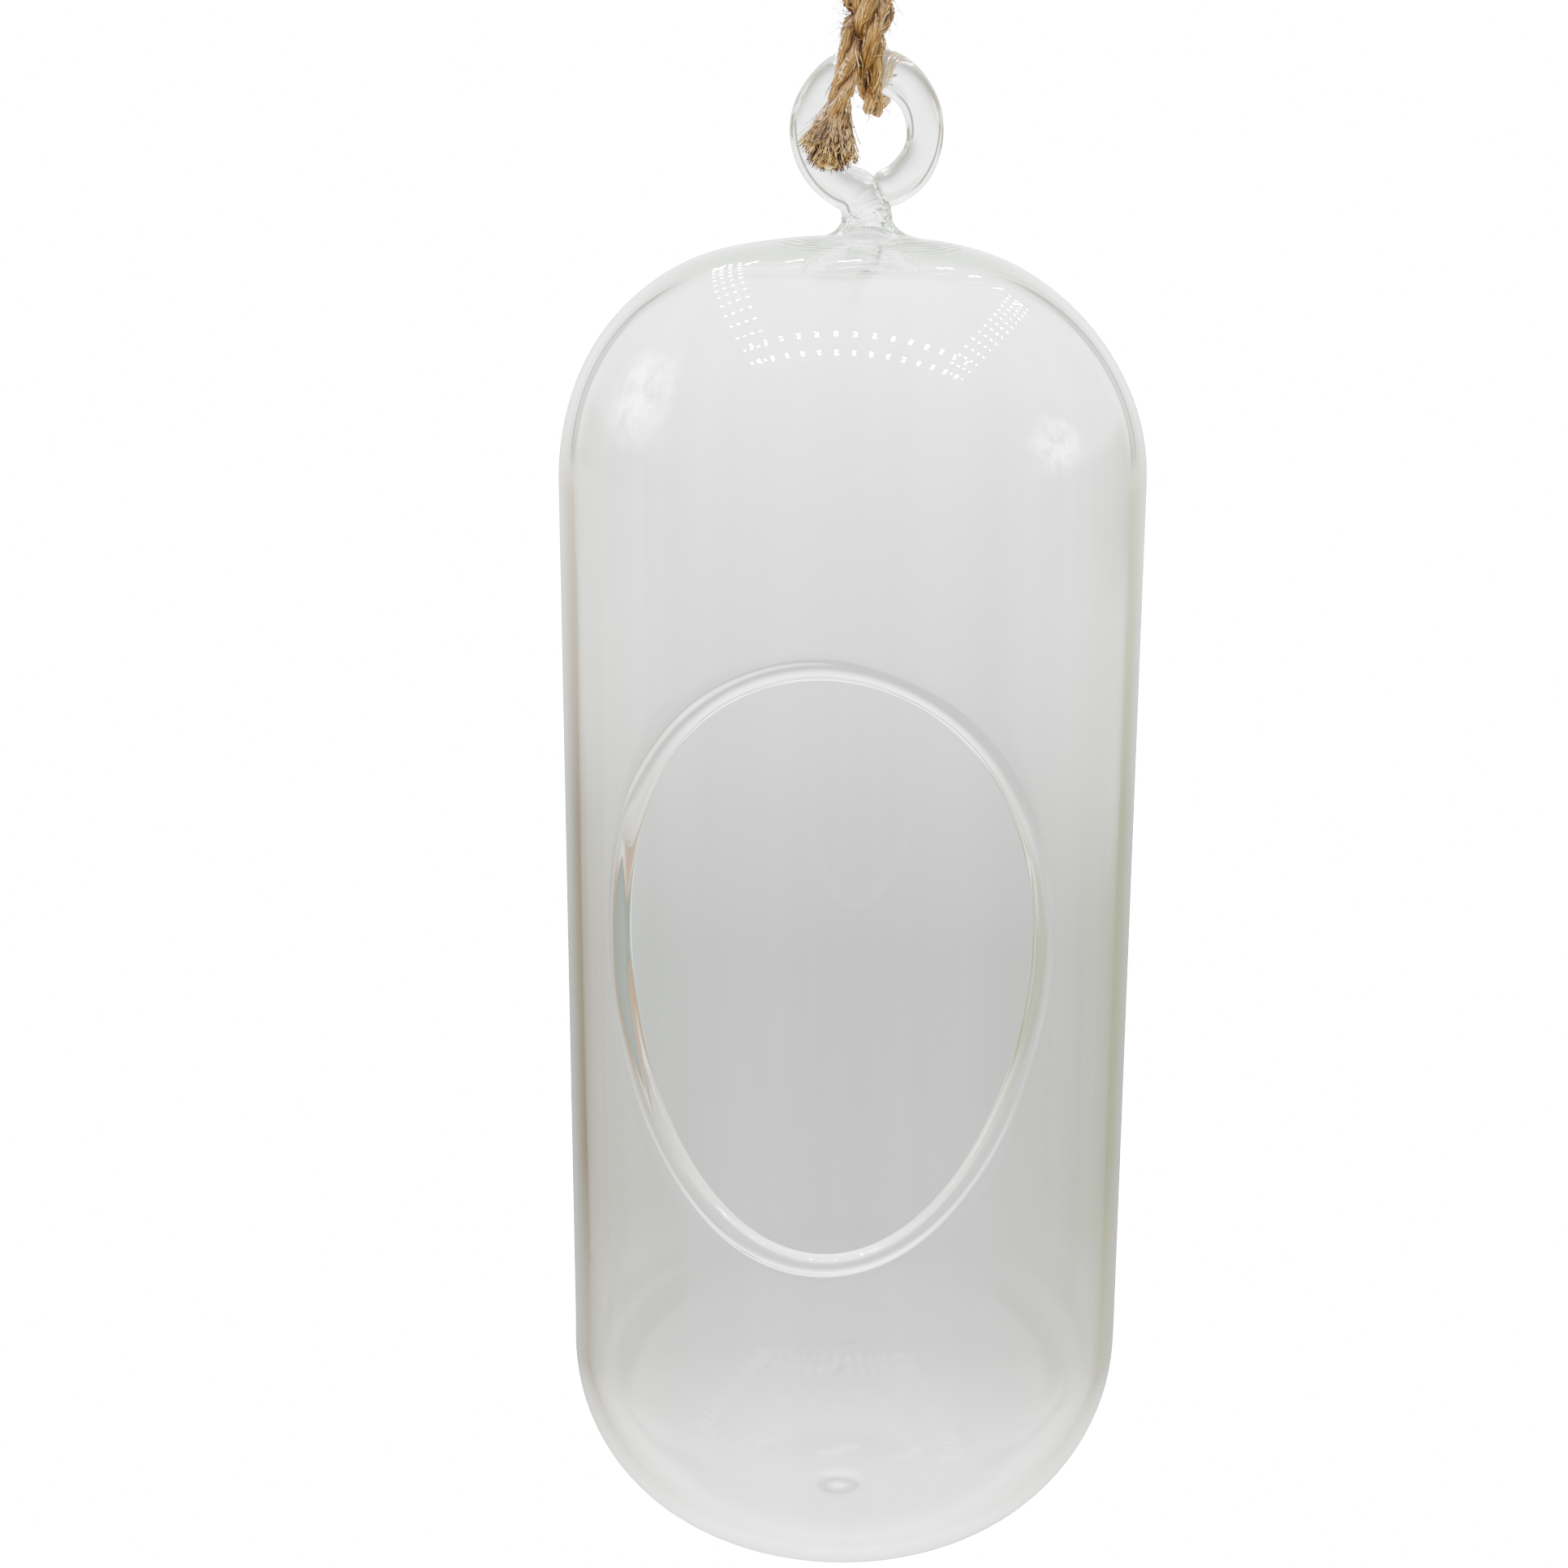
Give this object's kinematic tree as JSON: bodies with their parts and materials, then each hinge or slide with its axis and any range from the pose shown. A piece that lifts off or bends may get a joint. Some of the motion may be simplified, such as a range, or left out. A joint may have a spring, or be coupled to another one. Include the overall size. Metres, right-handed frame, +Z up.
{
  "type": "propagation vase",
  "caption": "Hanging propagation vase: a clear blown glass capsule with an egg-shaped side window and a curled glass ring on its crown, on a knotted jute rope with a loop and a frayed tail.",
  "frame": {"origin": "inside top of the rope's hanging loop, where a hook bears", "axes": "+Z up along the rope; -Y the way the side window and the rope's tail face; +X to the right seen from the front"},
  "size_m": [0.0799, 0.0804, 0.3026],
  "materials": {
    "glass": "clear, fire-polished",
    "jute": "twisted natural jute, matte"
  },
  "bodies": {
    "hanger": {"hanging_loop": "jute", "loop_knot": "jute"},
    "rope": {"standing_rope": "jute", "ring_knot": "jute", "ring_bight": "jute", "rope_tail": "jute", "frayed_end": "jute"},
    "glass": {"glass_vessel": "glass", "hanging_ring": "glass"}
  },
  "joints": [
    {"name": "rope_swing", "type": "hinge", "parent": "hanger", "child": "rope", "pos_m": [0, 0, -0.03805], "axis": [0, 1, 0], "range_deg": [-75, 75]},
    {"name": "vase_rock", "type": "hinge", "parent": "rope", "child": "glass", "pos_m": [0, 0, -0.0893], "axis": [1, 0, 0], "range_deg": [-28, 85]}
  ]
}
